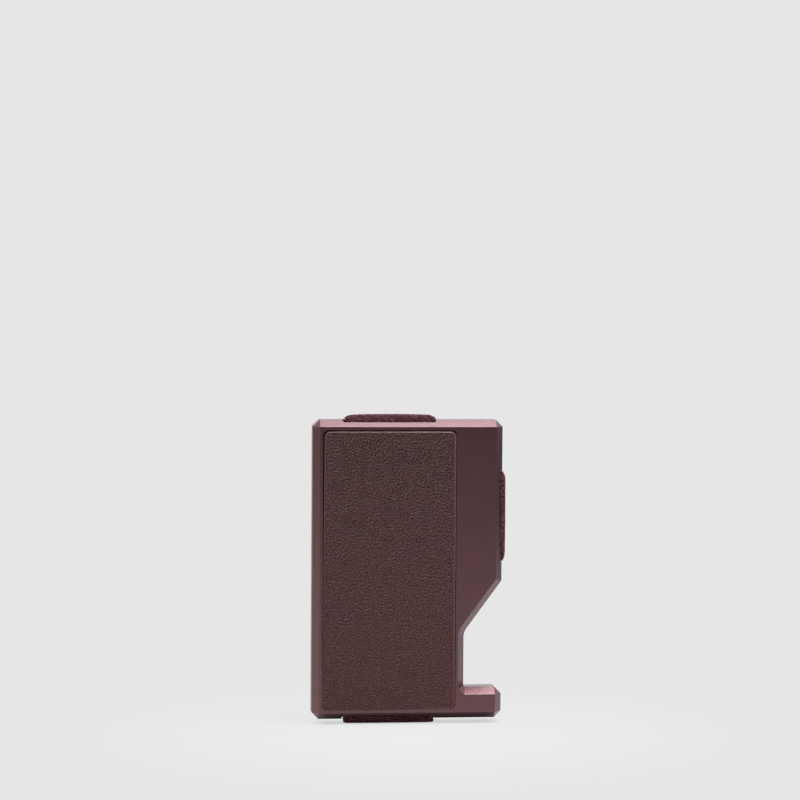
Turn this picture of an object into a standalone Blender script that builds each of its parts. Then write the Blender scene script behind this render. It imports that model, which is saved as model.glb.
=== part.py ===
"""Magnetic card holder for the back of a phone, standing upright and empty.

Two bevelled aluminium plates hold the cards between them. A long elastic loop runs
round both plates from top to bottom, and a shorter elastic closes the right side, so
cards leave to the left, pushed by a thumb in the notch at the lower right. The front
plate carries a leather inlay. The rear plate carries a ring of magnets under a pad.

X runs to the right, Y away from the viewer and Z up, in metres. Every piece is drawn
from the middle of the plates in X, the front face in Y and the plates' lower edge in
Z. One empty then puts the middle of the object's foot at the origin.
"""

import math

import bmesh
import bpy
from mathutils import Vector

# Card and plates
CARD_WIDTH = 0.0540
CARD_LENGTH = 0.0856
CARD_SIDE_MARGIN = 0.0010
CARD_END_MARGIN = 0.0012
PLATE_WIDTH = CARD_WIDTH + 2 * CARD_SIDE_MARGIN
PLATE_HEIGHT = CARD_LENGTH + 2 * CARD_END_MARGIN
HALF_WIDTH = PLATE_WIDTH / 2
CORNER_CUT = 0.0020
CARD_GAP = 0.0004
CARD_LEAD_IN = 0.0006

# Thumb notch at the lower right, with the square foot below it
NOTCH_DEPTH = 0.01115
FOOT_HEIGHT = 0.00915
NOTCH_STRAIGHT_TOP = 0.0253
NOTCH_SLOPE_TOP = 0.0405
NOTCH_UPPER_FILLET = 0.0043
NOTCH_LOWER_FILLET = 0.0007
NOTCH_EDGE = HALF_WIDTH - NOTCH_DEPTH

# Layers, from the front face backwards
LAYER_GAP = 0.00005
LEATHER_THICKNESS = 0.0008
ADHESIVE_THICKNESS = 0.0001
FRONT_WEB = 0.0008
BAND_THICKNESS = 0.00085
LINER_THICKNESS = 0.0009
REAR_WEB = 0.0007
SHUNT_THICKNESS = 0.0003
MAGNET_THICKNESS = 0.0008
PAD_THICKNESS = 0.0006
PAD_RISE = 0.0001

LEATHER_RECESS = LEATHER_THICKNESS + ADHESIVE_THICKNESS + 2 * LAYER_GAP
POCKET_DEPTH = BAND_THICKNESS + LINER_THICKNESS + 3 * LAYER_GAP
RING_GROOVE = SHUNT_THICKNESS + MAGNET_THICKNESS + 2 * LAYER_GAP
PAD_RECESS = PAD_THICKNESS + ADHESIVE_THICKNESS + 2 * LAYER_GAP - PAD_RISE

FRONT_POCKET_Y = LEATHER_RECESS + FRONT_WEB
FRONT_INNER_Y = FRONT_POCKET_Y + POCKET_DEPTH
REAR_INNER_Y = FRONT_INNER_Y + CARD_GAP
REAR_POCKET_Y = REAR_INNER_Y + POCKET_DEPTH
RING_FLOOR_Y = REAR_POCKET_Y + REAR_WEB
PAD_FLOOR_Y = RING_FLOOR_Y + RING_GROOVE
REAR_FACE_Y = PAD_FLOOR_Y + PAD_RECESS
HOLDER_DEPTH = REAR_FACE_Y + PAD_RISE

# Bevels round the outer faces
FRONT_BEVEL_WIDTH = 0.0020
FRONT_BEVEL_DEPTH = 0.0026
REAR_BEVEL = 0.0010

# Leather inlay, left of the bare metal strip
LEATHER_LEFT_MARGIN = 0.0029
METAL_STRIP = 0.01385
LEATHER_LOWER_MARGIN = 0.00295
LEATHER_UPPER_MARGIN = 0.0030
LEATHER_CORNER = 0.0015
LEATHER_SIDE_GAP = 0.00035
LEATHER_EDGE_ROUND = 0.0002
LEATHER_RECESS_WIDTH = PLATE_WIDTH - LEATHER_LEFT_MARGIN - METAL_STRIP
LEATHER_CENTER_X = (LEATHER_LEFT_MARGIN - METAL_STRIP) / 2

# Pockets for the elastics and their liners
POCKET_WALL = 0.0024
POCKET_CORNER = 0.0010
LINER_SIDE_GAP = 0.00015

# Elastics: the long one is centred on the leather, the other lies above the notch
LONG_BAND_INSET = 0.006125
SIDE_BAND_LOWER_MARGIN = 0.0059
SIDE_BAND_UPPER_MARGIN = 0.0154
LONG_BAND_WIDTH = LEATHER_RECESS_WIDTH - 2 * LONG_BAND_INSET
SIDE_BAND_LOW_Z = NOTCH_SLOPE_TOP + SIDE_BAND_LOWER_MARGIN
SIDE_BAND_HIGH_Z = PLATE_HEIGHT - SIDE_BAND_UPPER_MARGIN
BAND_TAIL_GAP = 0.0004
BAND_JOIN_GAP = 0.0003
BAND_SIDE_GAP = 0.00015
BAND_EDGE_ROUND = 0.00035
TOP_BULGE = 0.0016
BOTTOM_BULGE = 0.0014
SIDE_BULGE = 0.00115
BAND_FOOT_FLAT = 0.00025
RELIEF_DEPTH = 0.00075
RELIEF_CORNER = 0.0007
RELIEF_SIDE_GAP = 0.0003

# Liner screws
SCREW_HEAD_RADIUS = 0.00125
SCREW_SHANK_RADIUS = 0.0007
SCREW_HEAD_HEIGHT = SCREW_HEAD_RADIUS - SCREW_SHANK_RADIUS
SCREW_LENGTH = 0.0021
SCREW_SOCKET_RADIUS = 0.0005
SCREW_SOCKET_DEPTH = 0.00035
SCREW_GAP = 0.00005
SCREW_WALL_MARGIN = 0.0027
BOSS_RADIUS = 0.0016

# Magnets and rear pad
PAD_MARGIN = 0.0020
PAD_CORNER = 0.0020
PAD_SIDE_GAP = 0.0002
RING_LAND = 0.0006
RING_UPPER_MARGIN = 0.0032
RING_WIDTH = 0.0028
RING_MAGNETS = 16
MAGNET_GAP = 0.0003
MAGNET_SIDE_GAP = 0.0001
KEY_MAGNET_WIDTH = 0.0045
KEY_MAGNET_LENGTH = 0.0180
KEY_MAGNET_DROP = 0.0070
KEY_MAGNET_CORNER = 0.0006
RING_RADIUS = HALF_WIDTH - PAD_MARGIN - RING_LAND
RING_CENTER_Z = PLATE_HEIGHT - RING_UPPER_MARGIN - RING_RADIUS

# Cuts run this far past the faces that they open
OVERRUN = 0.0010

# Smoothness of round shapes, in steps
FILLET_STEPS = 6
BAND_ARC_STEPS = 16
SCREW_STEPS = 20
SOCKET_SIDES = 6
RING_STEPS = 96
MAGNET_ARC_STEPS = 5
WELD_DISTANCE = 0.000001

# How a flat outline stands: its own X and Y become the two world axes named
FACING_FRONT = (math.pi / 2, 0, 0)
FACING_SIDE = (math.pi / 2, 0, math.pi / 2)
LYING_FLAT = (0, 0, 0)
HEAD_TO_REAR = (-math.pi / 2, 0, 0)
HEAD_TO_FRONT = (math.pi / 2, 0, 0)

MATERIALS = {
    "anodised_aluminium": ((0.105, 0.052, 0.056), 0.42, 1.0),
    "leather": ((0.062, 0.034, 0.034), 0.62, 0.0),
    "adhesive_film": ((0.55, 0.50, 0.42), 0.50, 0.0),
    "liner_nylon": ((0.020, 0.018, 0.019), 0.55, 0.0),
    "elastic_knit": ((0.055, 0.016, 0.024), 0.85, 0.0),
    "screw_steel": ((0.45, 0.45, 0.46), 0.30, 1.0),
    "shunt_steel": ((0.40, 0.40, 0.41), 0.35, 1.0),
    "magnet_nickel": ((0.62, 0.60, 0.56), 0.25, 1.0),
    "pad_microfibre": ((0.050, 0.028, 0.030), 0.90, 0.0),
}


def clear_scene():
    for old in list(bpy.data.objects):
        bpy.data.objects.remove(old, do_unlink=True)


def make_collection(name):
    collection = bpy.data.collections.new(name)
    bpy.context.scene.collection.children.link(collection)
    return collection


def make_material(name):
    color, roughness, metallic = MATERIALS[name]
    material = bpy.data.materials.new(name)
    material.use_nodes = True
    shader = material.node_tree.nodes["Principled BSDF"]
    shader.inputs["Base Color"].default_value = (*color, 1)
    shader.inputs["Roughness"].default_value = roughness
    shader.inputs["Metallic"].default_value = metallic
    material.diffuse_color = (*color, 1)
    return material


def make_empty(name, parent=None, location=(0, 0, 0)):
    empty = bpy.data.objects.new(name, None)
    empty.location = location
    empty.parent = parent
    parts.objects.link(empty)
    return empty


def add_object(name, mesh, parent, material=None):
    """A sub-part if it has a material, and a cutter or a helper if it has none."""
    item = bpy.data.objects.new(name, mesh)
    item.parent = parent
    if material:
        parts.objects.link(item)
        mesh.materials.append(materials[material])
    else:
        cutters.objects.link(item)
        item.hide_render = True
        item.display_type = "WIRE"
    return item


def cut(target, tool):
    modifier = target.modifiers.new(tool.name, "BOOLEAN")
    modifier.operation = "DIFFERENCE"
    modifier.solver = "EXACT"
    modifier.object = tool


def round_edges(target, width, segments, angle=math.radians(40)):
    modifier = target.modifiers.new("rounded edges", "BEVEL")
    modifier.width = width
    modifier.segments = segments
    modifier.limit_method = "ANGLE"
    modifier.angle_limit = angle


# Outlines

def inward(direction):
    """The normal to the left, which is the inside of a loop that runs anticlockwise."""
    return Vector((-direction.y, direction.x))


def mitre(point, arriving, leaving, inset):
    across = inward(arriving) + inward(leaving)
    return point + across * inset / (1 + inward(arriving).dot(inward(leaving)))


def arc_points(center, radius, start, sweep, steps):
    points = []
    for step in range(steps + 1):
        angle = start + sweep * step / steps
        points.append(center + radius * Vector((math.cos(angle), math.sin(angle))))
    return points


def fillet_points(point, arriving, leaving, radius, inset):
    """A rounded corner whose centre stays put when the outline is inset."""
    turn = arriving.angle_signed(leaving) * -1
    side = math.copysign(1, turn)
    tangent = radius * math.tan(abs(turn) / 2)
    center = point - arriving * tangent + inward(arriving) * radius * side
    arm = -side * inward(arriving)
    start = math.atan2(arm.y, arm.x)
    return arc_points(center, radius - side * inset, start, turn, FILLET_STEPS)


def outline_loop(corners, inset=0, square_cuts=False):
    """Points of an outline, moved inwards by an inset.

    A corner is (x, z, shape, size), with shape sharp, cut or fillet. With square_cuts
    the cut corners close to a point, given twice, so two such loops still match.
    """
    points = []
    for index, (x, z, shape, size) in enumerate(corners):
        point = Vector((x, z))
        before = Vector(corners[index - 1][:2])
        after = Vector(corners[(index + 1) % len(corners)][:2])
        arriving = (point - before).normalized()
        leaving = (after - point).normalized()
        if shape == "fillet":
            points += fillet_points(point, arriving, leaving, size, inset)
        elif shape == "cut" and not square_cuts:
            start = point - arriving * size
            end = point + leaving * size
            along = (end - start).normalized()
            points.append(mitre(start, arriving, along, inset))
            points.append(mitre(end, along, leaving, inset))
        else:
            copies = 2 if shape == "cut" else 1
            points += [mitre(point, arriving, leaving, inset)] * copies
    return points


def plate_corners():
    """The plates' outline, anticlockwise from the lower left."""
    return [
        (-HALF_WIDTH, 0, "cut", CORNER_CUT),
        (HALF_WIDTH, 0, "cut", CORNER_CUT),
        (HALF_WIDTH, FOOT_HEIGHT, "cut", CORNER_CUT),
        (NOTCH_EDGE, FOOT_HEIGHT, "fillet", NOTCH_LOWER_FILLET),
        (NOTCH_EDGE, NOTCH_STRAIGHT_TOP, "fillet", NOTCH_UPPER_FILLET),
        (HALF_WIDTH, NOTCH_SLOPE_TOP, "sharp", 0),
        (HALF_WIDTH, PLATE_HEIGHT, "cut", CORNER_CUT),
        (-HALF_WIDTH, PLATE_HEIGHT, "cut", CORNER_CUT),
    ]


def body_loop(inset, corner):
    """The plates' outline without the foot, moved inwards, with rounded corners."""
    body = [
        (-HALF_WIDTH, 0, "sharp", 0),
        (NOTCH_EDGE, 0, "sharp", 0),
        (NOTCH_EDGE, NOTCH_STRAIGHT_TOP, "sharp", 0),
        (HALF_WIDTH, NOTCH_SLOPE_TOP, "sharp", 0),
        (HALF_WIDTH, PLATE_HEIGHT, "sharp", 0),
        (-HALF_WIDTH, PLATE_HEIGHT, "sharp", 0),
    ]
    moved = outline_loop(body, inset)
    return outline_loop([(point.x, point.y, "fillet", corner) for point in moved])


def rounded_rectangle(left, right, low, high, corner):
    ends = [(left, low), (right, low), (right, high), (left, high)]
    return outline_loop([(x, z, "fillet", corner) for x, z in ends])


# Solids

def weld_and_orient(mesh):
    shape = bmesh.new()
    shape.from_mesh(mesh)
    bmesh.ops.remove_doubles(shape, verts=shape.verts, dist=WELD_DISTANCE)
    bmesh.ops.recalc_face_normals(shape, faces=shape.faces)
    shape.to_mesh(mesh)
    shape.free()


def flat_solid(name, loops, parent, thickness, middle, turned=FACING_FRONT, material=None):
    """A flat outline, or one with holes, given a thickness about its middle."""
    curve = bpy.data.curves.new(name + "_outline", "CURVE")
    curve.dimensions = "2D"
    curve.fill_mode = "BOTH"
    curve.extrude = thickness / 2
    for loop in loops:
        spline = curve.splines.new("POLY")
        spline.points.add(len(loop) - 1)
        spline.use_cyclic_u = True
        for spot, point in zip(spline.points, loop):
            spot.co = (point.x, point.y, 0, 1)
    guide = bpy.data.objects.new(name + "_guide", curve)
    cutters.objects.link(guide)
    evaluated = guide.evaluated_get(bpy.context.evaluated_depsgraph_get())
    mesh = bpy.data.meshes.new_from_object(evaluated)
    bpy.data.objects.remove(guide, do_unlink=True)
    bpy.data.curves.remove(curve)
    mesh.name = name
    weld_and_orient(mesh)
    item = add_object(name, mesh, parent, material)
    item.location = middle
    item.rotation_euler = turned
    return item


def flat_layer(name, loops, parent, front, back, material=None):
    """A flat outline that faces the viewer, between two depths."""
    middle = (0, (front + back) / 2, 0)
    return flat_solid(name, loops, parent, back - front, middle, FACING_FRONT, material)


def turned_solid(name, profile, parent, steps, closed=False, material=None):
    """A profile of (radius, height) points turned about its own Z."""
    mesh = bpy.data.meshes.new(name)
    edges = [(index, index + 1) for index in range(len(profile) - 1)]
    if closed:
        edges.append((len(profile) - 1, 0))
    mesh.from_pydata([(radius, 0, height) for radius, height in profile], edges, [])
    item = add_object(name, mesh, parent, material)
    modifier = item.modifiers.new("turning", "SCREW")
    modifier.axis = "Z"
    modifier.angle = math.tau
    modifier.steps = steps
    modifier.render_steps = steps
    modifier.use_merge_vertices = True
    modifier.merge_threshold = WELD_DISTANCE
    modifier.use_smooth_shade = False
    return item


def solid_from(name, shape, parent, middle, turned=LYING_FLAT):
    mesh = bpy.data.meshes.new(name)
    shape.to_mesh(mesh)
    shape.free()
    item = add_object(name, mesh, parent)
    item.location = middle
    item.rotation_euler = turned
    return item


def box(name, low, high, parent):
    """A box cutter between two opposite corners."""
    low, high = Vector(low), Vector(high)
    shape = bmesh.new()
    bmesh.ops.create_cube(shape, size=1)
    bmesh.ops.scale(shape, vec=high - low, verts=shape.verts)
    return solid_from(name, shape, parent, (low + high) / 2)


def post(name, radius, height, sides, parent, middle, turned=LYING_FLAT):
    """A round or many-sided cutter about its middle."""
    shape = bmesh.new()
    bmesh.ops.create_cone(
        shape, cap_ends=True, segments=sides, radius1=radius, radius2=radius, depth=height
    )
    return solid_from(name, shape, parent, middle, turned)


def lofted_shell(name, sections, parent):
    """A solid through matching outlines, each a loop and its depth.

    Where a loop repeats a point, the strip there closes to a triangle: this makes the
    three-cornered facet that each bevelled corner of the plates has.
    """
    shape = bmesh.new()
    rings = []
    for loop, depth in sections:
        ring = []
        for point in loop:
            place = Vector((point.x, depth, point.y))
            if not ring or (ring[-1].co - place).length > WELD_DISTANCE:
                ring.append(shape.verts.new(place))
            else:
                ring.append(ring[-1])
        rings.append(ring)
    for front, back in zip(rings, rings[1:]):
        for index in range(len(front)):
            following = (index + 1) % len(front)
            corners = [front[index], front[following], back[following], back[index]]
            shape.faces.new(list(dict.fromkeys(corners)))
    for ring in (rings[0], rings[-1]):
        shape.faces.new(list(dict.fromkeys(ring)))
    bmesh.ops.recalc_face_normals(shape, faces=shape.faces)
    mesh = bpy.data.meshes.new(name)
    shape.to_mesh(mesh)
    shape.free()
    return add_object(name, mesh, parent, "anodised_aluminium")


# Places shared by both halves

def screw_places():
    """Screws stand just inside the pocket's wall, clear of both elastics."""
    inset = POCKET_WALL + SCREW_WALL_MARGIN
    left = -HALF_WIDTH + inset
    right = HALF_WIDTH - inset
    top = PLATE_HEIGHT - inset
    under_band = SIDE_BAND_LOW_Z - BAND_SIDE_GAP - 2 * BOSS_RADIUS
    beside_notch = NOTCH_EDGE - inset
    return [
        (left, inset),
        (left, PLATE_HEIGHT / 2),
        (left, top),
        (beside_notch, inset),
        (right - BOSS_RADIUS, under_band),
        (right, top),
    ]


def screw_profile(gap=0, above=0):
    """Countersunk screw from its head down, or the hole that clears it by a gap.

    The head's cone is a right angle, so it widens by as much as it is drawn above.
    """
    return [
        (0, above),
        (SCREW_HEAD_RADIUS + gap + above, above),
        (SCREW_SHANK_RADIUS + gap, -SCREW_HEAD_HEIGHT),
        (SCREW_SHANK_RADIUS + gap, -SCREW_LENGTH - gap),
        (0, -SCREW_LENGTH - gap),
    ]


def screw_hole_cutters(side, parent, head_y, turned):
    holes = []
    for number, (x, z) in enumerate(screw_places(), 1):
        name = f"{side}_screw_hole_{number}"
        hole = turned_solid(name, screw_profile(SCREW_GAP, OVERRUN), parent, SCREW_STEPS)
        hole.location = (x, head_y, z)
        hole.rotation_euler = turned
        holes.append(hole)
    return holes


def band_spans(gap):
    """Where the elastics leave the plates: low and high in X, then in Z, with a gap."""
    half = LONG_BAND_WIDTH / 2 + gap
    left = LEATHER_CENTER_X - half
    right = LEATHER_CENTER_X + half
    return left, right, SIDE_BAND_LOW_Z - gap, SIDE_BAND_HIGH_Z + gap


def cut_band_slots(shell, side, parent, floor_y, inner_y):
    """Slots through the pocket's wall, where the elastics leave.

    They reach into the pocket by half of the land between its wall and the bosses.
    """
    left, right, low, high = band_spans(BAND_SIDE_GAP)
    past_wall = POCKET_WALL + (SCREW_WALL_MARGIN - BOSS_RADIUS) / 2
    slots = {
        "top": (left, right, PLATE_HEIGHT - past_wall, PLATE_HEIGHT + OVERRUN),
        "bottom": (left, right, -OVERRUN, past_wall),
        "side": (HALF_WIDTH - past_wall, HALF_WIDTH + OVERRUN, low, high),
    }
    open_y = inner_y + math.copysign(OVERRUN, inner_y - floor_y)
    front, back = sorted((floor_y, open_y))
    for edge, (x_low, x_high, z_low, z_high) in slots.items():
        slot = box(f"{side}_{edge}_slot", (x_low, front, z_low), (x_high, back, z_high), parent)
        cut(shell, slot)


def cut_band_reliefs(shell, parent):
    """Shallow bites with round ends in the front bevel, which the elastics fill."""
    left, right, low, high = band_spans(RELIEF_SIDE_GAP)
    far = RELIEF_DEPTH + RELIEF_CORNER + OVERRUN
    reliefs = {
        "top": (left, right, PLATE_HEIGHT - RELIEF_DEPTH, PLATE_HEIGHT + far),
        "bottom": (left, right, -far, RELIEF_DEPTH),
        "side": (HALF_WIDTH - RELIEF_DEPTH, HALF_WIDTH + far, low, high),
    }
    back = FRONT_INNER_Y + 2 * OVERRUN
    for edge, bounds in reliefs.items():
        loop = rounded_rectangle(*bounds, RELIEF_CORNER)
        cut(shell, flat_layer(f"{edge}_relief", [loop], parent, -OVERRUN, back))


def cut_card_lead_in(shell, side, parent, inner_y):
    """A chamfer along the left inner edge, where the cards leave."""
    half = CARD_LEAD_IN / math.sqrt(2)
    low = (-half, -half, -OVERRUN)
    high = (half, half, PLATE_HEIGHT + OVERRUN)
    wedge = box(f"{side}_lead_in", low, high, parent)
    wedge.location.x = -HALF_WIDTH
    wedge.location.y = inner_y
    wedge.rotation_euler.z = math.pi / 4
    cut(shell, wedge)


def cut_pocket(shell, side, parent, floor_y, inner_y):
    """The pocket for elastic and liner, with a boss left standing for each screw."""
    away = math.copysign(1, inner_y - floor_y)
    front, back = sorted((floor_y, inner_y + away * OVERRUN))
    loop = body_loop(POCKET_WALL, POCKET_CORNER)
    pocket = flat_layer(f"{side}_pocket", [loop], parent, front, back)
    boss_top = floor_y + away * (BAND_THICKNESS + LAYER_GAP)
    front, back = sorted((floor_y - away * OVERRUN, boss_top))
    for number, (x, z) in enumerate(screw_places(), 1):
        name = f"{side}_boss_{number}"
        place = (x, (front + back) / 2, z)
        boss = post(name, BOSS_RADIUS, back - front, SCREW_STEPS, parent, place, FACING_FRONT)
        cut(pocket, boss)
    cut(shell, pocket)


# Front half

def make_front_shell(parent, holes):
    corners = plate_corners()
    sections = [
        (outline_loop(corners, FRONT_BEVEL_WIDTH, square_cuts=True), 0),
        (outline_loop(corners), FRONT_BEVEL_DEPTH),
        (outline_loop(corners), FRONT_INNER_Y),
    ]
    shell = lofted_shell("front_shell", sections, parent)
    recess = flat_layer("leather_recess", [leather_loop(0)], parent, -OVERRUN, LEATHER_RECESS)
    cut(shell, recess)
    cut_pocket(shell, "front", parent, FRONT_POCKET_Y, FRONT_INNER_Y)
    cut_band_slots(shell, "front", parent, FRONT_POCKET_Y, FRONT_INNER_Y)
    cut_band_reliefs(shell, parent)
    cut_card_lead_in(shell, "front", parent, FRONT_INNER_Y)
    for hole in holes:
        cut(shell, hole)


def leather_loop(gap):
    """The leather recess, or what lies in it with a gap all round."""
    return rounded_rectangle(
        -HALF_WIDTH + LEATHER_LEFT_MARGIN + gap,
        HALF_WIDTH - METAL_STRIP - gap,
        LEATHER_LOWER_MARGIN + gap,
        PLATE_HEIGHT - LEATHER_UPPER_MARGIN - gap,
        LEATHER_CORNER - gap,
    )


def make_leather(parent):
    loop = leather_loop(LEATHER_SIDE_GAP)
    inlay = flat_layer("leather_inlay", [loop], parent, 0, LEATHER_THICKNESS, "leather")
    round_edges(inlay, LEATHER_EDGE_ROUND, 2)
    front = LEATHER_THICKNESS + LAYER_GAP
    film = leather_loop(LEATHER_SIDE_GAP + LEATHER_EDGE_ROUND)
    back = front + ADHESIVE_THICKNESS
    flat_layer("leather_adhesive", [film], parent, front, back, "adhesive_film")


# Rear half

def make_rear_shell(parent, holes):
    corners = plate_corners()
    sections = [
        (outline_loop(corners), REAR_INNER_Y),
        (outline_loop(corners), REAR_FACE_Y - REAR_BEVEL),
        (outline_loop(corners, REAR_BEVEL), REAR_FACE_Y),
    ]
    shell = lofted_shell("rear_shell", sections, parent)
    cut_pocket(shell, "rear", parent, REAR_POCKET_Y, REAR_INNER_Y)
    cut_band_slots(shell, "rear", parent, REAR_POCKET_Y, REAR_INNER_Y)
    cut_card_lead_in(shell, "rear", parent, REAR_INNER_Y)
    past_face = REAR_FACE_Y + OVERRUN
    pad_loop = body_loop(PAD_MARGIN, PAD_CORNER)
    cut(shell, flat_layer("pad_recess", [pad_loop], parent, PAD_FLOOR_Y, past_face))
    groove = [
        ring_circle(RING_RADIUS + MAGNET_SIDE_GAP),
        ring_circle(RING_RADIUS - RING_WIDTH - MAGNET_SIDE_GAP),
    ]
    cut(shell, flat_layer("ring_groove", groove, parent, RING_FLOOR_Y, past_face))
    key_slot = key_magnet_loop(MAGNET_SIDE_GAP)
    cut(shell, flat_layer("key_slot", [key_slot], parent, RING_FLOOR_Y, past_face))
    for hole in holes:
        cut(shell, hole)


def ring_circle(radius):
    center = Vector((0, RING_CENTER_Z))
    return arc_points(center, radius, 0, math.tau, RING_STEPS)[:-1]


def key_magnet_loop(gap):
    """The bar magnet below the ring, which keeps the holder upright on the phone."""
    top = RING_CENTER_Z - RING_RADIUS - KEY_MAGNET_DROP
    half = KEY_MAGNET_WIDTH / 2 + gap
    corner = KEY_MAGNET_CORNER + gap
    return rounded_rectangle(-half, half, top - KEY_MAGNET_LENGTH - gap, top + gap, corner)


def make_magnets(parent):
    shunt_front = RING_FLOOR_Y + LAYER_GAP
    magnet_front = shunt_front + SHUNT_THICKNESS + LAYER_GAP
    magnet_back = magnet_front + MAGNET_THICKNESS - LAYER_GAP
    inner = RING_RADIUS - RING_WIDTH
    profile = [
        (RING_RADIUS, SHUNT_THICKNESS),
        (RING_RADIUS, 0),
        (inner, 0),
        (inner, SHUNT_THICKNESS),
    ]
    shunt = turned_solid(
        "steel_shunt_ring", profile, parent, RING_STEPS, closed=True, material="shunt_steel"
    )
    shunt.location = (0, shunt_front, RING_CENTER_Z)
    shunt.rotation_euler = HEAD_TO_REAR

    center = Vector((0, RING_CENTER_Z))
    pitch = math.tau / RING_MAGNETS
    for number in range(1, RING_MAGNETS + 1):
        start = (number - 1) * pitch
        outer_trim = MAGNET_GAP / 2 / RING_RADIUS
        inner_trim = MAGNET_GAP / 2 / inner
        outside = arc_points(
            center, RING_RADIUS, start + outer_trim, pitch - 2 * outer_trim, MAGNET_ARC_STEPS
        )
        inside = arc_points(
            center, inner, start + pitch - inner_trim, 2 * inner_trim - pitch, MAGNET_ARC_STEPS
        )
        name = f"ring_magnet_{number:02d}"
        loops = [outside + inside]
        flat_layer(name, loops, parent, magnet_front, magnet_back, "magnet_nickel")
    bar = [key_magnet_loop(0)]
    flat_layer("key_magnet", bar, parent, shunt_front, magnet_back, "magnet_nickel")


def make_rear_pad(parent):
    film_front = PAD_FLOOR_Y + LAYER_GAP
    film_back = film_front + ADHESIVE_THICKNESS
    pad_front = film_back + LAYER_GAP
    film = body_loop(PAD_MARGIN + 2 * PAD_SIDE_GAP, PAD_CORNER)
    flat_layer("pad_adhesive", [film], parent, film_front, film_back, "adhesive_film")
    loop = body_loop(PAD_MARGIN + PAD_SIDE_GAP, PAD_CORNER)
    flat_layer("rear_pad", [loop], parent, pad_front, HOLDER_DEPTH, "pad_microfibre")


# Liners and screws, one set in each half

def make_liner(side, parent, front, holes):
    loop = body_loop(POCKET_WALL + LINER_SIDE_GAP, POCKET_CORNER)
    back = front + LINER_THICKNESS
    liner = flat_layer(f"{side}_liner", [loop], parent, front, back, "liner_nylon")
    for hole in holes:
        cut(liner, hole)


def make_screws(side, parent, head_y, turned):
    for number, (x, z) in enumerate(screw_places(), 1):
        name = f"{side}_liner_screw_{number}"
        screw = turned_solid(
            name, screw_profile(), parent, SCREW_STEPS, material="screw_steel"
        )
        screw.location = (x, head_y, z)
        screw.rotation_euler = turned
        height = SCREW_SOCKET_DEPTH + OVERRUN
        middle = (0, 0, (OVERRUN - SCREW_SOCKET_DEPTH) / 2)
        socket = post(
            f"{name}_socket", SCREW_SOCKET_RADIUS, height, SOCKET_SIDES, screw, middle
        )
        cut(screw, socket)


# Elastics

def band_fold():
    """Where the elastics turn from front to rear: the fold's middle and outer radius."""
    front = FRONT_POCKET_Y + LAYER_GAP
    rear = REAR_POCKET_Y - LAYER_GAP
    return (front + rear) / 2, (rear - front) / 2


def tail_end(side, along):
    """The outer and inner point where a strap's tail ends, front (-1) or rear (1)."""
    middle, radius = band_fold()
    reaches = (radius, radius - BAND_THICKNESS)
    return [Vector((middle + side * reach, along)) for reach in reaches]


def strap_loop(center, start, first_end, last_end):
    """A folded strap seen on edge: half a turn from its start, with a tail each side."""
    radius = band_fold()[1]
    half_turn = math.pi
    outside = arc_points(center, radius, start, half_turn, BAND_ARC_STEPS)
    inside = arc_points(
        center, radius - BAND_THICKNESS, start + half_turn, -half_turn, BAND_ARC_STEPS
    )
    return [first_end[0], *outside, *last_end, *inside, first_end[1]]


def make_strap(name, loop, parent, width, middle, turned):
    strap = flat_solid(name, [loop], parent, width, middle, turned, "elastic_knit")
    round_edges(strap, BAND_EDGE_ROUND, 2)


def make_long_band(parent):
    """A loop through both pockets, and its lower fold, which the holder stands on."""
    middle, radius = band_fold()
    place = (LEATHER_CENTER_X, 0, 0)

    ends = RELIEF_DEPTH + BAND_JOIN_GAP
    top = Vector((middle, PLATE_HEIGHT + TOP_BULGE - radius))
    loop = strap_loop(top, 0, tail_end(1, ends), tail_end(-1, ends))
    make_strap("elastic_band_long", loop, parent, LONG_BAND_WIDTH, place, FACING_SIDE)

    bottom = Vector((middle, radius - BOTTOM_BULGE - BAND_FOOT_FLAT))
    ends = RELIEF_DEPTH
    loop = strap_loop(bottom, math.pi, tail_end(-1, ends), tail_end(1, ends))
    pressed = [Vector((y, max(z, -BOTTOM_BULGE))) for y, z in loop]
    make_strap("elastic_band_foot", pressed, parent, LONG_BAND_WIDTH, place, FACING_SIDE)


def make_side_band(parent):
    """A strap folded round the right edge, its ends held under the liners."""
    middle, radius = band_fold()
    center = Vector((HALF_WIDTH + SIDE_BULGE - radius, middle))
    tail_x = LEATHER_CENTER_X + LONG_BAND_WIDTH / 2 + BAND_TAIL_GAP
    front_end = [point.yx for point in tail_end(-1, tail_x)]
    rear_end = [point.yx for point in tail_end(1, tail_x)]
    loop = strap_loop(center, -math.pi / 2, front_end, rear_end)
    width = SIDE_BAND_HIGH_Z - SIDE_BAND_LOW_Z
    place = (0, 0, (SIDE_BAND_LOW_Z + SIDE_BAND_HIGH_Z) / 2)
    make_strap("elastic_band_side", loop, parent, width, place, LYING_FLAT)


def build():
    holder = make_empty("card_holder", None, (-SIDE_BULGE / 2, -HOLDER_DEPTH / 2, BOTTOM_BULGE))
    front_half = make_empty("front_half", holder)
    rear_half = make_empty("rear_half", holder)

    front_head_y = FRONT_INNER_Y - LAYER_GAP
    front_holes = screw_hole_cutters("front", front_half, front_head_y, HEAD_TO_REAR)
    make_front_shell(front_half, front_holes)
    make_leather(front_half)
    make_liner("front", front_half, front_head_y - LINER_THICKNESS, front_holes)
    make_screws("front", front_half, front_head_y, HEAD_TO_REAR)

    rear_head_y = REAR_INNER_Y + LAYER_GAP
    rear_holes = screw_hole_cutters("rear", rear_half, rear_head_y, HEAD_TO_FRONT)
    make_rear_shell(rear_half, rear_holes)
    make_liner("rear", rear_half, rear_head_y, rear_holes)
    make_screws("rear", rear_half, rear_head_y, HEAD_TO_FRONT)
    make_magnets(rear_half)
    make_rear_pad(rear_half)

    make_long_band(rear_half)
    make_side_band(rear_half)


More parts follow.
